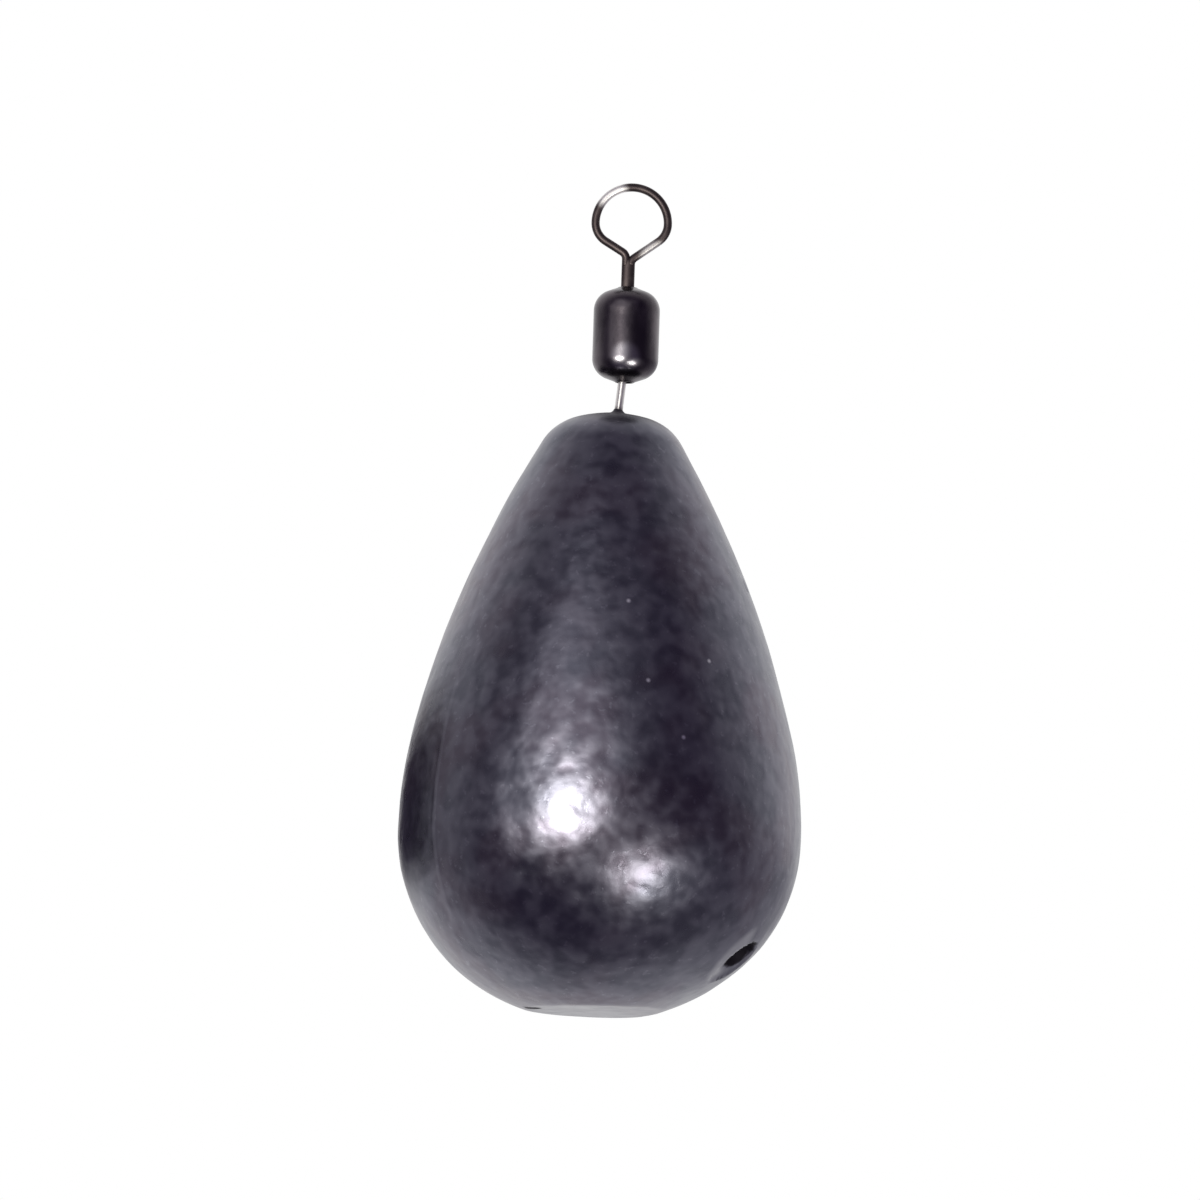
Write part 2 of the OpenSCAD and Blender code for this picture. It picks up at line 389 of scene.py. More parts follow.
# %% Hang the lamps
MIDDLE = (cad_low + cad_high) / 2
LAMP_COLOUR = (1, 1, 0.92)
LAMPS = [
    # name, azimuth and elevation, distance in metres, size in degrees, radiance
    ("window", -20, -3, 0.104, (20, 13), 32.0),
    ("lower_window", 27, -31, 0.4, (22, 9), 20.0),
]


def hang_lamp(name, azimuth, elevation, away, size, radiance):
    """A soft box that faces the sinker. Its size is its width and height in degrees."""
    lamp = bpy.data.objects.new(name, bpy.data.lights.new(name, "AREA"))
    width, height = (2 * away * math.tan(math.radians(angle) / 2) for angle in size)
    lamp.data.shape = "ELLIPSE"
    lamp.data.size = width
    lamp.data.size_y = height
    lamp.data.color = LAMP_COLOUR
    lamp.data.energy = radiance * math.pi * width * height * math.pi / 4
    way = toward(azimuth, elevation)
    turned = way.to_track_quat("Z", "Y").to_matrix().to_4x4()
    lamp.matrix_world = Matrix.Translation(MIDDLE + away * way) @ turned
    lamp.visible_camera = False
    bpy.context.scene.collection.objects.link(lamp)
    print("%s is %.0f mm wide and %.0f mm high" % (name, width / MM, height / MM))


for lamp_values in LAMPS:
    hang_lamp(*lamp_values)

# %% [markdown]
# ## Drawing with a moving tip
#
# Both the lead's outline and the wires are chains of straight runs and round
# bends. A curve object with a round bevel could draw the wires, but not the
# outline, and the pressed shank and the head have to grow from the same mesh. So
# one helper draws them all: it carries a tip straight on or round a centre and
# leaves edges or faces behind. The tip is a single point for an outline that is
# spun later, and a ring of edges for a wire.

# %% A tip that runs and turns
class Tip:
    """Moves in the XZ plane. A heading of 0 is straight up and 90 is along +X."""

    def __init__(self, bm, geometry, at, heading, cell):
        self.bm = bm
        self.geometry = geometry
        self.at = Vector(at)
        self.heading = math.radians(heading)
        self.cell = cell

    def steps(self, length):
        """How many cells a length is cut into."""
        return max(1, math.ceil(abs(length) / self.cell))

    def run(self, length):
        """Straight on by a length."""
        way = length * Vector((math.sin(self.heading), 0, math.cos(self.heading)))
        count = self.steps(length)
        made = bmesh.ops.spin(
            self.bm,
            geom=self.geometry,
            cent=self.at,
            axis=(0, 1, 0),
            dvec=way / count,
            angle=0,
            steps=count,
            use_merge=False,
        )
        self.geometry = made["geom_last"]
        self.at += way
        return self

    def turn(self, radius, degrees):
        """Round a bend, to the right for a positive angle and to the left for a negative one."""
        angle = math.radians(degrees)
        side = math.copysign(radius, angle)
        across = Vector((math.cos(self.heading), 0, -math.sin(self.heading)))
        centre = self.at + side * across
        made = bmesh.ops.spin(
            self.bm,
            geom=self.geometry,
            cent=centre,
            axis=(0, 1, 0),
            angle=angle,
            steps=self.steps(radius * angle),
            use_merge=False,
        )
        self.geometry = made["geom_last"]
        self.heading += angle
        across = Vector((math.cos(self.heading), 0, -math.sin(self.heading)))
        self.at = centre - side * across
        return self


WELD = 0.0005 * MM


def spin_round(bm, turns):
    """Spins an outline into a closed shell about the Z axis."""
    bmesh.ops.spin(
        bm,
        geom=bm.verts[:] + bm.edges[:],
        cent=(0, 0, 0),
        axis=(0, 0, 1),
        angle=math.tau,
        steps=turns,
        use_merge=True,
    )
    bmesh.ops.remove_doubles(bm, verts=bm.verts, dist=WELD)
    bmesh.ops.recalc_face_normals(bm, faces=bm.faces)


def make_piece(bm, name, finish):
    """Turns a finished mesh into an object at the origin and gives it its finish."""
    for face in bm.faces:
        face.smooth = True
    mesh = bpy.data.meshes.new(name)
    bm.to_mesh(mesh)
    bm.free()
    mesh.materials.append(finish)
    piece = bpy.data.objects.new(name, mesh)
    bpy.context.scene.collection.objects.link(piece)
    print("%s has %d faces" % (name, len(mesh.polygons)))
    return piece


# %% [markdown]
# ## The lead pear
#
# Its outline is six arcs that run into each other: crown, shoulder, flank, belly,
# bowl, and a small one into the flat base. It could be smoothed from a coarse cage
# or sculpted from a ball, but the mould was turned on a lathe, so the outline is
# spun round the axis and is true by itself. The tangent arcs are worked out as the
# construction does it. The rings lie closer round the wire, where a small collar
# is raised later.

# %% Work out the arcs
BODY_R = 9.725 * MM
BODY_H = 29.05 * MM
BASE_R = 3.3 * MM
EDGE_R = 1.0 * MM
BOWL_R = 8.95 * MM
BELLY_R = 0.72 * BODY_H
FLANK_R = 1.8 * BODY_H
NOSE_R = 3.75 * MM
SHOULDER_R = 2.7 * MM
CROWN_R = 7 * MM

belly_z = math.sqrt(BOWL_R**2 - (BASE_R - BODY_R + BOWL_R) ** 2)
belly_centre = Vector((BODY_R - BELLY_R, belly_z))
crown_centre = Vector((0, BODY_H - CROWN_R))
shoulder_x = NOSE_R - SHOULDER_R
shoulder_centre = crown_centre + Vector(
    (shoulder_x, math.sqrt((CROWN_R - SHOULDER_R) ** 2 - shoulder_x**2))
)
span = shoulder_centre - belly_centre
along = (span.length_squared + (FLANK_R - BELLY_R) ** 2 - (FLANK_R - SHOULDER_R) ** 2) / (
    2 * span.length
)
aside = math.sqrt((FLANK_R - BELLY_R) ** 2 - along**2)
line = span.normalized()
flank_centre = belly_centre + along * line + aside * Vector((-line.y, line.x))


def bearing(start, end):
    """Angle above the level, in degrees, of the way from one centre to another."""
    way = end - start
    return math.degrees(math.atan2(way.y, way.x))


belly_end = bearing(flank_centre, belly_centre)
flank_end = bearing(flank_centre, shoulder_centre)
shoulder_end = bearing(crown_centre, shoulder_centre)
edge_x = BODY_R - BOWL_R + math.sqrt((BOWL_R - EDGE_R) ** 2 - (belly_z - EDGE_R) ** 2)
bowl_end = math.degrees(math.asin((belly_z - EDGE_R) / (BOWL_R - EDGE_R)))
print("the lead is widest at %.2f mm above its base" % (belly_z / MM))

# %% Draw and spin the outline
LEAD_CELL = 0.172 * MM
LEAD_TURNS = 320
COLLAR_CELL = 0.06 * MM
COLLAR_ARC = 9

lead = bmesh.new()
crown_point = lead.verts.new((0, 0, BODY_H))
outline = Tip(lead, [crown_point], (0, 0, BODY_H), 90, COLLAR_CELL)
outline.turn(CROWN_R, COLLAR_ARC)
outline.cell = LEAD_CELL
outline.turn(CROWN_R, 90 - shoulder_end - COLLAR_ARC)
outline.turn(SHOULDER_R, shoulder_end - flank_end)
outline.turn(FLANK_R, flank_end - belly_end)
outline.turn(BELLY_R, belly_end)
outline.turn(BOWL_R, bowl_end)
outline.turn(EDGE_R, 90 - bowl_end)
outline.run(edge_x)
spin_round(lead, LEAD_TURNS)
print("the lead starts as %d faces" % len(lead.faces))

# %% [markdown]
# A cast skin is never true. Slow noise gives the lead its low lumps, and quicker
# noise the dimples that break up a highlight. Bump in the material could draw
# them, but would leave the outline straight and the export smooth. So each point
# is moved along its own normal, and these are real shapes.

# %% Give the casting its lumps
LUMPS = [
    # size of a lump and its height
    (7.0 * MM, 0.05 * MM),
    (2.6 * MM, 0.022 * MM),
    (1.1 * MM, 0.011 * MM),
]


def raise_lumps(bm, size, height):
    """Moves every point in or out along its normal by soft noise."""
    bm.normal_update()
    moves = [height * noise.noise(v.co / size) * v.normal for v in bm.verts]
    for v, move in zip(bm.verts, moves):
        v.co += move


for lump_size, lump_height in LUMPS:
    raise_lumps(lead, lump_size, lump_height)
print("%d sizes of lumps are raised" % len(LUMPS))

# %% [markdown]
# The marks of casting come next: the parting line where the mould halves met, a
# pit where the lead didn't fill, a dimple beside the base, a nick on the right
# flank, and a collar where the lead crept up the wire. A boolean could cut the
# pit, but it would leave a sharp edge and ragged faces, so points are pressed in
# instead. Marks on the bowl are placed by their turn about the axis and their
# angle below the widest line, and the dents higher up by their turn and height.

# %% Places on the skin
flank_z = belly_z + BELLY_R * math.sin(math.radians(belly_end))
print("the flank starts at %.2f mm above the base" % (flank_z / MM))


def outward(turn, drop):
    """Unit vector at a turn about the axis and an angle below the level, in degrees."""
    t, d = math.radians(turn), math.radians(drop)
    return Vector((math.cos(t) * math.cos(d), math.sin(t) * math.cos(d), -math.sin(d)))


def on_bowl(turn, drop):
    """Point on the bowl of the pear, and the way its skin faces there."""
    facing = outward(turn, drop)
    level_part = outward(turn, 0) * (BODY_R - BOWL_R)
    return Vector((0, 0, belly_z)) + level_part + BOWL_R * facing, facing


def on_side(turn, height):
    """Point on the belly or the flank of the pear, at a height above the base."""
    centre, radius = (flank_centre, FLANK_R) if height > flank_z else (belly_centre, BELLY_R)
    rise = math.asin((height - centre.y) / radius)
    facing = outward(turn, -math.degrees(rise))
    return Vector((0, 0, centre.y)) + outward(turn, 0) * centre.x + radius * facing, facing


# %% Dent the skin
# A lip reaches out by a third of the hollow's width and falls off in a twelfth.
LIP_REACH, LIP_FALL = 3, 12
DENT_FALL = 2.2
RAG_SIZE = 0.9 * MM


def scoop(bm, place, width, depth, lip=0.0, slim=1.0):
    """Presses a ball-shaped hollow into the skin, slimmer round the axis, with a lip."""
    point, facing = place
    ball = (width**2 / 4 + depth**2) / (2 * depth)
    centre = point + (ball - depth) * facing
    side = Vector((0, 0, 1)).cross(facing).normalized()
    for v in bm.verts:
        way = v.co - centre
        way += (slim - 1) * way.dot(side) * side
        inside = ball - way.length
        if inside > 0:
            way = ball * way.normalized()
            v.co = centre + way - (1 - 1 / slim) * way.dot(side) * side
        elif inside > -width / LIP_REACH and (v.co - point).length < width:
            v.co += facing * lip * math.exp(inside / (width / LIP_FALL))


def press(bm, place, width, depth, ragged=0.5):
    """Presses a soft dent into the skin, with a more or less ragged outline."""
    point, facing = place
    for v in bm.verts:
        away = (v.co - point).length
        if away < 2 * width:
            uneven = 1 + ragged * noise.noise(v.co / RAG_SIZE)
            v.co -= facing * depth * math.exp(-((DENT_FALL * uneven * away / width) ** 2))


DENTS = [
    # turn about the axis, height above the base, width and depth in mm
    (-106.0, 11.2, 1.7, 0.02),
    (-99.5, 12.9, 2.3, 0.03),
    (-96.5, 14.2, 1.5, 0.03),
    (-116.0, 9.5, 2.0, 0.05),
    (-88.5, 11.3, 1.5, 0.04),
    (-109.0, 13.4, 1.4, 0.03),
    (-94.0, 8.8, 1.5, 0.04),
]
for turn, height, width, depth in DENTS:
    press(lead, on_side(turn, height * MM), width * MM, depth * MM)
print("%d small dents are pressed" % len(DENTS))

# %% Pit, dimple and nick
# The skin is flattened low on the right. The pit lies there in a shallow trough, so
# both are set back from the bowl by as much as the skin has sunk.
FLAT = (on_bowl(-10, 61), 7.0 * MM, 0.3 * MM)
SUNK = 0.17 * MM * outward(-12, 48)
PIT = (on_bowl(-17, 42)[0] - SUNK, outward(-16, 51))
LOBE = (on_bowl(-18, 52)[0] - 1.4 * SUNK, outward(-18, 52))
NICK = (Vector((6.62, -1.47, 20.7)) * MM, outward(-12.5, -22))
HOLLOWS = [
    # place, width, depth, height of the lip, and how slim
    (PIT, 3.4 * MM, 0.16 * MM, 0.05 * MM, 1.3),
    (PIT, 1.9 * MM, 0.75 * MM),
    (LOBE, 0.8 * MM, 0.1 * MM),
    (NICK, 0.6 * MM, 0.04 * MM, 0.02 * MM),
]
DIMPLE = (on_bowl(-47, 57), 1.8 * MM, 0.05 * MM)

press(lead, *FLAT, ragged=0)
for hollow in HOLLOWS:
    scoop(lead, *hollow)
press(lead, *DIMPLE)
print("%d hollows are scooped" % len(HOLLOWS))

# %% Raise the parting line and the collar
PARTING_TURN = math.radians(35)
PARTING_W = 0.14 * MM
PARTING_H = 0.03 * MM
PARTING_FROM = 0.1 * MM
PARTING_MID = belly_z + 2 * MM
PARTING_REACH = 6 * MM
PARTING_WAVE = 4 * MM
CROWN_Z = BODY_H - CROWN_R / 4
WIRE_EXIT = Vector((0.239, 0)) * MM
SHANK_HALF = Vector((0.2, 0.32)) * MM
COLLAR_H = 0.21 * MM
COLLAR_W = 0.1 * MM


def raise_parting_line(bm):
    """Lifts a fine ridge, that comes and goes, along the plane where the mould opened."""
    bm.normal_update()
    for v in bm.verts:
        across = v.co.x * math.sin(PARTING_TURN) - v.co.y * math.cos(PARTING_TURN)
        if abs(across) < 3 * PARTING_W and PARTING_FROM < v.co.z < CROWN_Z:
            fade = 0.5 + noise.noise(v.co / PARTING_WAVE)
            fade *= math.exp(-((v.co.z - PARTING_MID) / PARTING_REACH) ** 2)
            v.co += v.normal * PARTING_H * fade * math.exp(-((across / PARTING_W) ** 2))


def raise_collar(bm):
    """Lets the lead creep up round the oval shank of the cast-in eye."""
    for v in bm.verts:
        if v.co.z > CROWN_Z:
            away = v.co.xy - WIRE_EXIT
            gap = (math.hypot(away.x / SHANK_HALF.x, away.y / SHANK_HALF.y) - 1) * SHANK_HALF.x
            v.co.z += COLLAR_H * math.exp(-max(gap, 0) / COLLAR_W)


raise_parting_line(lead)
raise_collar(lead)
print("the lead now has its top at %.2f mm" % (max(v.co.z for v in lead.verts) / MM))

# %% [markdown]
# ## The finish of the lead
#
# Old lead is a soft grey metal under a thin dark skin. The skin is worn through
# in flecks, is duller in some patches than in others, and breaks up highlights.
# A picture of lead could be wrapped round the pear, but it would stretch at the
# poles and show a seam. Noise in the piece's own space does neither, so the skin
# is mixed from clouds of several sizes. Sizes and places are in millimetres.

# %% Mix the dark skin
OXIDE = (0.104, 0.106, 0.134, 1)
WARM_OXIDE = (0.118, 0.1, 0.128, 1)
LEAD_GREY = (0.248, 0.243, 0.288, 1)
HUE, PATCH, MOTTLE, FLECK, GRAIN = 5.0, 2.6, 0.8, 0.34, 0.25
# Each pair is where a soft step starts and where it is full.
WARM_STEP, WORN_STEP, FLECK_STEP = (0.42, 0.58), (0.38, 0.62), (0.6, 0.74)
RIDGE_STEP, RIDGE_TOP, RIDGE_FOOT = (0.03, 0.0), (19, 10), (2, 8)

lead_finish, lead_shader, at = new_finish("cast_lead")
patches = at.cloud(PATCH, detail=3.0)
mottle = at.cloud(MOTTLE, detail=1.0, rough=0.4)
grain = at.cloud(GRAIN, detail=1.0)
flecks = at.cloud(FLECK, detail=2.0, rough=0.6, shift=(7, 3, 1)).step(*FLECK_STEP)
worn = (0.4 * patches + 0.6 * mottle).step(*WORN_STEP)
across = at.along((math.sin(PARTING_TURN), -math.cos(PARTING_TURN), 0))
above_base = at.along((0, 0, 1))
ridge = above_base.step(*RIDGE_TOP) * above_base.step(*RIDGE_FOOT)
ridge = (across * across).step(*RIDGE_STEP) * ridge
oxide = at.cloud(HUE, shift=(2, 9, 4)).step(*WARM_STEP).tint(OXIDE, WARM_OXIDE)
skin = (0.2 + 0.4 * worn + 0.35 * flecks + 0.3 * ridge).tint(oxide, LEAD_GREY)
print("the dark skin takes %d nodes" % len(lead_finish.node_tree.nodes))

# %% [markdown]
# The cut base is bare: bright, with the streaks of the cutter across it. Along the
# near rim of the pit the lead was pushed up, and it carries a painted highlight as
# bright as the cut base. The pit itself is painted nearly black as painted shade,
# and dirt has settled at one corner of the base. These could be painted by hand on
# the mesh. But each lies at a known place, so the distance from that place is its
# mask, and a little noise frays its edge.

# %% Mix the bare lead, the painted highlight and the painted shade
# Bare cut lead, also used for the painted highlight on the pit's near rim.
CUT_LEAD_AND_HIGHLIGHT = (0.5, 0.5, 0.52, 1)
# Nearly black: painted shade in the pit, and dirt at one corner of the base.
SHADE_AND_DIRT = (0.03, 0.027, 0.034, 1)
STREAK, FRAY = 0.3, 0.5
CUT_DEPTH, CUT_EDGE = (-0.07, -0.02), (3.15, 2.75)
PIT_INSIDE = 0.5 * MM
PIT_EDGE = (1.15, 0.95)
CORNER_AT = (-2.95, -0.6, 0)
CORNER_EDGE = (0.55, 0.25)
# The near rim of the pit: pushed-up lead with a painted highlight along one side.
HIGHLIT_RIM_SIDE = (-0.55, -0.8, -0.2)
HIGHLIT_RIM_OUTER, HIGHLIT_RIM_INNER, HIGHLIT_RIM_NEAR = (2.2, 1.7), (1.0, 1.3), (0.0, 0.8)


def in_mm(point):
    """A place in metres, as the patterns want it."""
    return tuple(point / MM)


cut = at.along((0, 0, -1)).step(*CUT_DEPTH) * at.distance((0, 0, 0)).step(*CUT_EDGE)
streaks = at.cloud(STREAK, detail=3.0, stretch=(0.15, 1, 1))
frayed = at.cloud(FRAY, detail=2.0) - 0.5
pit_mouth, pit_facing = PIT
# Painted shade deep in the pit, then dirt at one corner of the base.
pit_shade_and_dirt = (at.distance(in_mm(pit_mouth - PIT_INSIDE * pit_facing)) + 0.4 * frayed).step(*PIT_EDGE)
pit_shade_and_dirt = pit_shade_and_dirt.larger((at.distance(CORNER_AT) + 0.3 * frayed).step(*CORNER_EDGE))
from_pit = at.distance(in_mm(pit_mouth))
near_side = at.along(HIGHLIT_RIM_SIDE) - Vector(HIGHLIT_RIM_SIDE).dot(pit_mouth) / MM
burr_and_highlight = from_pit.step(*HIGHLIT_RIM_OUTER) * from_pit.step(*HIGHLIT_RIM_INNER) * near_side.step(*HIGHLIT_RIM_NEAR)
# The cut base is bare lead; the pit's near rim gets a painted highlight in the same colour.
bare_and_highlit = (cut * (0.35 + streaks)).larger(0.6 * burr_and_highlight).tint(skin, CUT_LEAD_AND_HIGHLIGHT)
print("the pit lies %.1f mm above the base" % (pit_mouth.z / MM))

# %% [markdown]
# The crown is dull and dark round the wire, and four painted glints on the front
# are tiny near-white spots. Again each is a distance from its place. After these
# the sums are complete, and the main shader gets its colour, its roughness and its
# relief.

# %% Mix the crown and the painted glints
TARNISH = (0.055, 0.05, 0.062, 1)
GLINT_WHITE = (0.95, 0.95, 0.97, 1)
TARNISH_STEP, DULL_STEP, CREPT_STEP = (3.4, 1.0), (3, 1), (0.45, 0.25)
EXIT_AT = (WIRE_EXIT.x / MM, 0, BODY_H / MM + 0.1)
# Painted glints: tiny near-white spots where highlights show on the front.
GLINTS = [
    # turn about the axis and height above the base
    (-82, 19.2 * MM),
    (-65.5, 12.6 * MM),
    (-53, 16.5 * MM),
    (-76, 15.3 * MM),
]
GLINT_SIZE = 0.16
BARE_METAL = 1.0
LEAD_RELIEF = 0.037 * MM

from_wire = at.distance(EXIT_AT)
tarnished = (0.75 * from_wire.step(*TARNISH_STEP)).tint(bare_and_highlit, TARNISH)
# Painted shade in the pit, dirt at the corner, and a dark ring where the wire leaves the lead.
shaded_and_dirty = pit_shade_and_dirt.larger(0.7 * from_wire.step(*CREPT_STEP)).tint(tarnished, SHADE_AND_DIRT)
glint_spots = [in_mm(on_side(turn, height)[0]) for turn, height in GLINTS]
glint_marks = [at.distance(spot).step(GLINT_SIZE, 0) for spot in glint_spots]
glinted = glint_marks[0]
for glint_mark in glint_marks[1:]:
    glinted = glinted.larger(glint_mark)
dull = 0.16 * cut + 0.4 * pit_shade_and_dirt + 0.4 * from_wire.step(*DULL_STEP)
dress(
    lead_shader,
    at,
    glinted.tint(shaded_and_dirty, GLINT_WHITE),
    BARE_METAL,
    0.17 + 0.2 * mottle + 0.1 * patches + dull,
    0.9 * mottle + 0.06 * grain + 0.04 * flecks + 0.4 * (cut * streaks),
    LEAD_RELIEF,
)
print("the finish of the lead has %d nodes" % len(lead_finish.node_tree.nodes))

# %% [markdown]
# The dressed pear takes the place of the frame's own lead. It moves with the body
# of the lead, and says which slot of the record its finish fills.

# %% Stand the pear in the frame
pear = make_piece(lead, "lead_pear", lead_finish)
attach(pear, "lead")
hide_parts("sinker_body")

# %% [markdown]
# ## The barrel
#
# The barrel starts as a brass tube. Its ends are rolled in over the heads of the
# two eyes, until a thin lip hugs each shank. A cylinder with bevelled ends would
# look much the same, but it would be solid and hold no heads. So the barrel is
# drawn as one wall, out and back in, and then mirrored and spun.

# %% Draw one wall of the barrel
BARREL_AT = Vector((0.5, 0, 32.875)) * MM
BARREL_R = 1.6 * MM
STRAIGHT_HALF = 1.177 * MM
WALL = 0.3 * MM
END_BEND_R = 1.0 * MM
END_ANGLE = 70
CONE = 0.458 * MM
BORE_R = BARREL_R - WALL
LIP_R = 0.03 * MM
FLARE_R = 0.12 * MM
FLARE_ANGLE = 32.5
BARREL_CELL = 0.06 * MM

barrel = bmesh.new()
start = barrel.verts.new((BARREL_R, 0, 0))
wall = Tip(barrel, [start], (BARREL_R, 0, 0), 0, BARREL_CELL)
wall.run(STRAIGHT_HALF).turn(END_BEND_R, -END_ANGLE).run(CONE).turn(FLARE_R, FLARE_ANGLE)
wall.turn(LIP_R, -180)
print("the lip stands %.3f mm up at a radius of %.3f mm" % (wall.at.z / MM, wall.at.x / MM))
wall.turn(FLARE_R + 2 * LIP_R, -FLARE_ANGLE).run(CONE)
# The inner bend has just the radius at which the bore comes out as wide as it should.
still_out = BORE_R - (BARREL_R - END_BEND_R) - (END_BEND_R - 2 * LIP_R) * cosine(END_ANGLE)
wall.turn(still_out / (1 - cosine(END_ANGLE)), END_ANGLE)
wall.run(wall.at.z)
print("the bore is %.3f mm in radius" % (wall.at.x / MM))

# %% Mirror and spin the barrel
BARREL_TURNS = 96
MIDDLE_WELD = LIP_R / 9

half = barrel.verts[:] + barrel.edges[:]
bmesh.ops.mirror(barrel, geom=half, axis="Z", merge_dist=MIDDLE_WELD)
spin_round(barrel, BARREL_TURNS)
bmesh.ops.translate(barrel, verts=barrel.verts, vec=BARREL_AT)
print("the barrel is %.2f mm tall" % (2 * max(v.co.z - BARREL_AT.z for v in barrel.verts) / MM))

# %% [markdown]
# ## Black nickel
#
# Barrel and wire are plated with black nickel: a thin, dark, glossy metal coat. A
# plain dark metal would look painted beside it. The real coat is slightly uneven,
# and that is mixed in, very faintly. A paler patch where the barrel starts to
# close in at the bottom is a painted highlight, where the window lamp shows.

# %% Mix the black nickel of the barrel
NICKEL_DARK = (0.07, 0.06, 0.07, 1)
NICKEL_LIGHT = (0.14, 0.122, 0.134, 1)
# A painted highlight: paler colour on the lower bend, where the window lamp shows.
NICKEL_HIGHLIGHT = (0.38, 0.36, 0.39, 1)
HIGHLIGHT_AT = (0.5, -1.6, 31.65)
HIGHLIGHT_STEP, PLATED_STEP = (0.9, 0.4), (0.35, 0.7)
SMEAR, PEEL = 0.9, 0.2
NICKEL_RELIEF = 0.006 * MM

nickel, nickel_shader, at = new_finish("black_nickel")
smears = at.cloud(SMEAR, detail=3.0, stretch=(1, 1, 0.5))
orange_peel = at.cloud(PEEL, detail=2.0)
plating = smears.step(*PLATED_STEP).tint(NICKEL_DARK, NICKEL_LIGHT)
dress(
    nickel_shader,
    at,
    (0.7 * at.distance(HIGHLIGHT_AT).step(*HIGHLIGHT_STEP)).tint(plating, NICKEL_HIGHLIGHT),
    BARE_METAL,
    0.22 + 0.1 * smears,
    0.6 * smears + 0.4 * orange_peel,
    NICKEL_RELIEF,
)
print("the finish of the barrel has %d nodes" % len(nickel.node_tree.nodes))

# %% Fit the barrel
shell = make_piece(barrel, "barrel_shell", nickel)
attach(shell, "barrel")
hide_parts("swivel_barrel")

# %% [markdown]
# ## The wire eyes
#
# Each eye is one length of wire. A former feeds it up one side of the shank, out
# along a leg, round the ring and back down beside its other end. The two ends
# are pressed together and upset into a button head that turns in the barrel. A
# ready-made ring on a stick would miss the bends where the legs leave the shank.
# The moves of the former make both eyes here: only angles and lengths differ.

# %% Size the legs
WIRE_R = 0.2 * MM
RING_R = 1.75 * MM
CHEEK_R = 1.06 * MM
NECK_BEND_R = 0.39 * MM
LEG_X = 0.12 * MM


def leg_length(angle, shift):
    """Straight length of a leg that leaves the shank at an angle."""
    a = math.radians(angle)
    reach = shift + RING_R - CHEEK_R + CHEEK_R * math.cos(a)
    return (reach - NECK_BEND_R * (1 - math.cos(a)) - LEG_X) / math.sin(a)


def leg_rise(angle, shift):
    """Height from the end of the shank to the middle of the ring."""
    a = math.radians(angle)
    return (CHEEK_R + NECK_BEND_R) * math.sin(a) + leg_length(angle, shift) * math.cos(a)


# %% [markdown]
# The wire is bent first. Its ends start and stop a little thinner inside the
# shank, so that they don't show beside it. Then the shank is drawn up to the fork
# as an oval, and each step of its shoulder shrinks it in width and in thickness.
# Last comes the head, a ball that is cut off flat at the back.

# %% Bend a wire into an eye
WIRE_SIDES = 32
WIRE_CELL = 0.06 * MM
FORK_OVERLAP = 0.1 * MM
FOOT_SHARE = 0.85
SHOULDER_RUN = 0.06 * MM
SHOULDER_SHARES = [(0.92, 1.0), (0.94, 0.98), (0.92, 0.95), (0.86, 0.88), (0.7, 0.6)]
HEAD_R = 1.0 * MM
HEAD_BACK = 0.3 * MM
HEAD_SIDES, HEAD_RINGS = 48, 32


def swell(bm, tip, share_x, share_y):
    """Scales the last ring of a wire about its middle."""
    ring = [part for part in tip.geometry if isinstance(part, bmesh.types.BMVert)]
    bmesh.ops.scale(
        bm, verts=ring, vec=(share_x, share_y, 1), space=Matrix.Translation(-tip.at)
    )


def bend_eye(right_angle, left_angle, shift, rise):
    """An eye that stands on the middle of its head, with its ring in the XZ plane."""
    bm = bmesh.new()
    fork = rise - leg_rise(right_angle, shift)
    foot = Matrix.Translation((LEG_X, 0, fork - FORK_OVERLAP))
    bmesh.ops.create_circle(
        bm, cap_ends=False, segments=WIRE_SIDES, radius=FOOT_SHARE * WIRE_R, matrix=foot
    )
    wire = Tip(bm, bm.verts[:] + bm.edges[:], foot.translation, 0, WIRE_CELL)
    wire.run(fork - foot.translation.z)
    swell(bm, wire, 1 / FOOT_SHARE, 1 / FOOT_SHARE)
    wire.turn(NECK_BEND_R, right_angle)
    wire.run(leg_length(right_angle, shift))
    wire.turn(CHEEK_R, -right_angle)
    wire.turn(RING_R, -180)
    wire.turn(CHEEK_R, -left_angle)
    wire.run(leg_length(left_angle, -shift))
    wire.turn(NECK_BEND_R, left_angle)
    wire.run(wire.at.z - foot.translation.z)
    swell(bm, wire, FOOT_SHARE, FOOT_SHARE)
    print("the wire comes back to x = %.3f mm" % (wire.at.x / MM))

    oval = bmesh.ops.create_circle(bm, cap_ends=False, segments=WIRE_SIDES, radius=1)["verts"]
    bmesh.ops.scale(bm, verts=oval, vec=(LEG_X + WIRE_R, WIRE_R, 1))
    rim = list({edge for v in oval for edge in v.link_edges})
    shank = Tip(bm, oval + rim, (0, 0, 0), 0, WIRE_CELL)
    shank.run(fork)
    for share_x, share_y in SHOULDER_SHARES:
        shank.run(SHOULDER_RUN)
        swell(bm, shank, share_x, share_y)
    bmesh.ops.holes_fill(bm, edges=[e for e in bm.edges if e.is_boundary], sides=0)

    head = bmesh.ops.create_uvsphere(
        bm, u_segments=HEAD_SIDES, v_segments=HEAD_RINGS, radius=HEAD_R
    )["verts"]
    ball = list({part for v in head for part in v.link_faces})
    ball += list({part for v in head for part in v.link_edges}) + head
    cut = bmesh.ops.bisect_plane(
        bm, geom=ball, plane_co=(0, 0, -HEAD_BACK), plane_no=(0, 0, -1), clear_outer=True
    )
    bmesh.ops.edgeloop_fill(
        bm, edges=[e for e in cut["geom_cut"] if isinstance(e, bmesh.types.BMEdge)]
    )
    bmesh.ops.recalc_face_normals(bm, faces=bm.faces)
    return bm


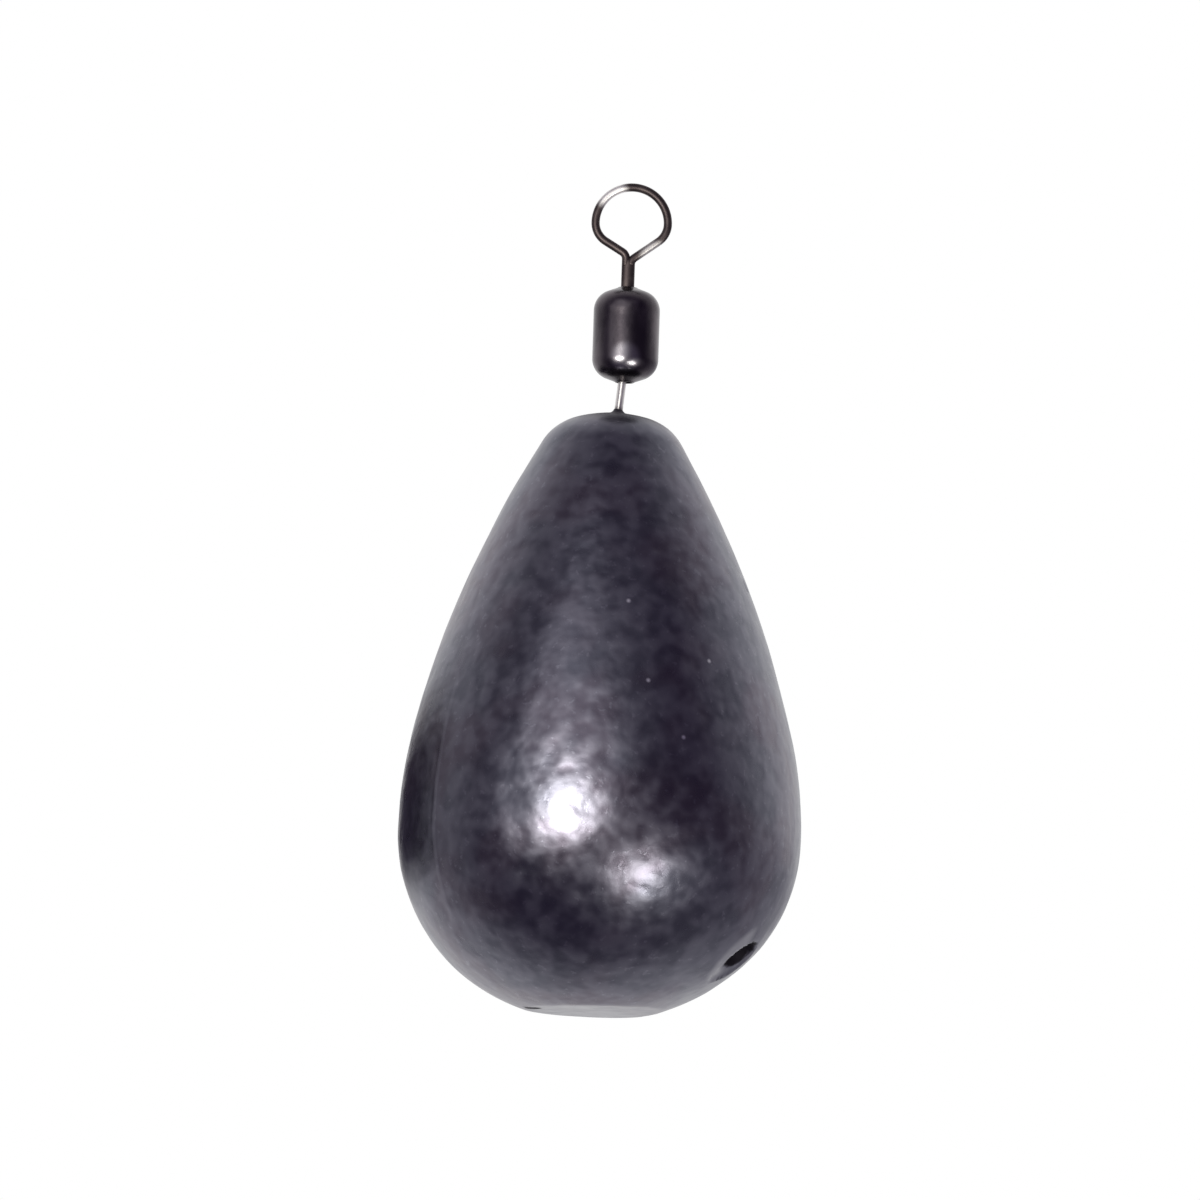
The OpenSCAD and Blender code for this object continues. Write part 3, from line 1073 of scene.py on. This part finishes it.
# %% [markdown]
# The line eye stands in the top of the barrel, and one leg is bent further than
# the other. The anchor eye hangs from the bottom, turned edge on and leaning a
# little, as it froze in the lead.

# %% Bend both eyes
HEAD_TO_LIP = 1.215 * MM
HEAD_Z = 1.11 * MM
NECK_GAP = 1.5 * MM
SHANK_LEN = 1.13 * MM
SHANK_BED = 0.35 * MM
LEG_ANGLE = 56.5
LEG_SKEW = 2.5
RING_SHIFT = 0.1 * MM
ANCHOR_LEAN = math.radians(5.5)

line_rise = HEAD_TO_LIP + SHANK_LEN + leg_rise(LEG_ANGLE - LEG_SKEW, RING_SHIFT)
line_eye = bend_eye(LEG_ANGLE - LEG_SKEW, LEG_ANGLE + LEG_SKEW, RING_SHIFT, line_rise)
bmesh.ops.translate(line_eye, verts=line_eye.verts, vec=BARREL_AT + Vector((0, 0, HEAD_Z)))

anchor_rise = HEAD_TO_LIP + NECK_GAP + SHANK_BED + leg_rise(LEG_ANGLE, 0)
anchor_eye = bend_eye(LEG_ANGLE, LEG_ANGLE, 0, anchor_rise)
bmesh.ops.transform(
    anchor_eye,
    verts=anchor_eye.verts,
    matrix=Matrix.Translation(BARREL_AT - Vector((0, 0, HEAD_Z)))
    @ Matrix.Rotation(math.pi + ANCHOR_LEAN, 4, "Y")
    @ Matrix.Rotation(math.pi / 2, 4, "Z"),
)

# %% [markdown]
# The wire is plated like the barrel, but it is rougher, and browner where the coat
# is thin. Near the top of the ring, on one leg and on the lower neck it carries
# near-white painted highlights. Two finishes could be made, but one serves both
# eyes, because these places lie far apart.

# %% Mix the black nickel of the wire
WIRE_DARK = (0.075, 0.059, 0.06, 1)
WIRE_WORN = (0.115, 0.093, 0.09, 1)
# Near white: painted highlights on the ring, on one leg and on the lower neck.
WIRE_HIGHLIGHT = (0.95, 0.92, 0.9, 1)
RUB = 0.7
WIRE_HIGHLIGHT_STEP, WORN_WIRE_STEP = (0.1, 0.4), (0.4, 0.7)
NECK_HIGHLIGHT_AT = (0.32, -0.2, 29.95)
NECK_HIGHLIGHT_STEP = (0.85, 0.5)
WIRE_RELIEF = 0.002 * MM
RING_AT = BARREL_AT + Vector((RING_SHIFT, 0, HEAD_Z + line_rise))


def ring_highlight(places, angle, reach, size):
    """A painted highlight on the ring, at an angle clockwise from its top."""
    a = math.radians(angle)
    spot = RING_AT + reach * Vector((math.sin(a), 0, math.cos(a)))
    return places.distance(in_mm(spot)).step(size, size / 2)


plated, plated_shader, at = new_finish("nickel_wire")
rubs = at.cloud(RUB, detail=2.0)
# Painted highlights on the ring, a leg and the lower neck, broken up by the wear noise.
highlight_on_top = ring_highlight(at, -36, RING_R, 1.0)
highlight_on_leg = 0.6 * ring_highlight(at, 143, 1.1 * RING_R, 0.9)
highlight_on_neck = 0.8 * at.distance(NECK_HIGHLIGHT_AT).step(*NECK_HIGHLIGHT_STEP)
painted_highlights = (highlight_on_top.larger(highlight_on_leg) * rubs.step(*WIRE_HIGHLIGHT_STEP)).larger(highlight_on_neck)
coat = rubs.step(*WORN_WIRE_STEP).tint(WIRE_DARK, WIRE_WORN)
dress(
    plated_shader,
    at,
    painted_highlights.tint(coat, WIRE_HIGHLIGHT),
    BARE_METAL,
    0.42 + 0.1 * rubs,
    rubs,
    WIRE_RELIEF,
)
print("the finish of the wire has %d nodes" % len(plated.node_tree.nodes))

# %% Fit both eyes
for wire_mesh, name, body in [(line_eye, "line_eye", "eye"), (anchor_eye, "anchor_eye", "lead")]:
    eye = make_piece(wire_mesh, name + "_wire", plated)
    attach(eye, body)
    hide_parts(name)
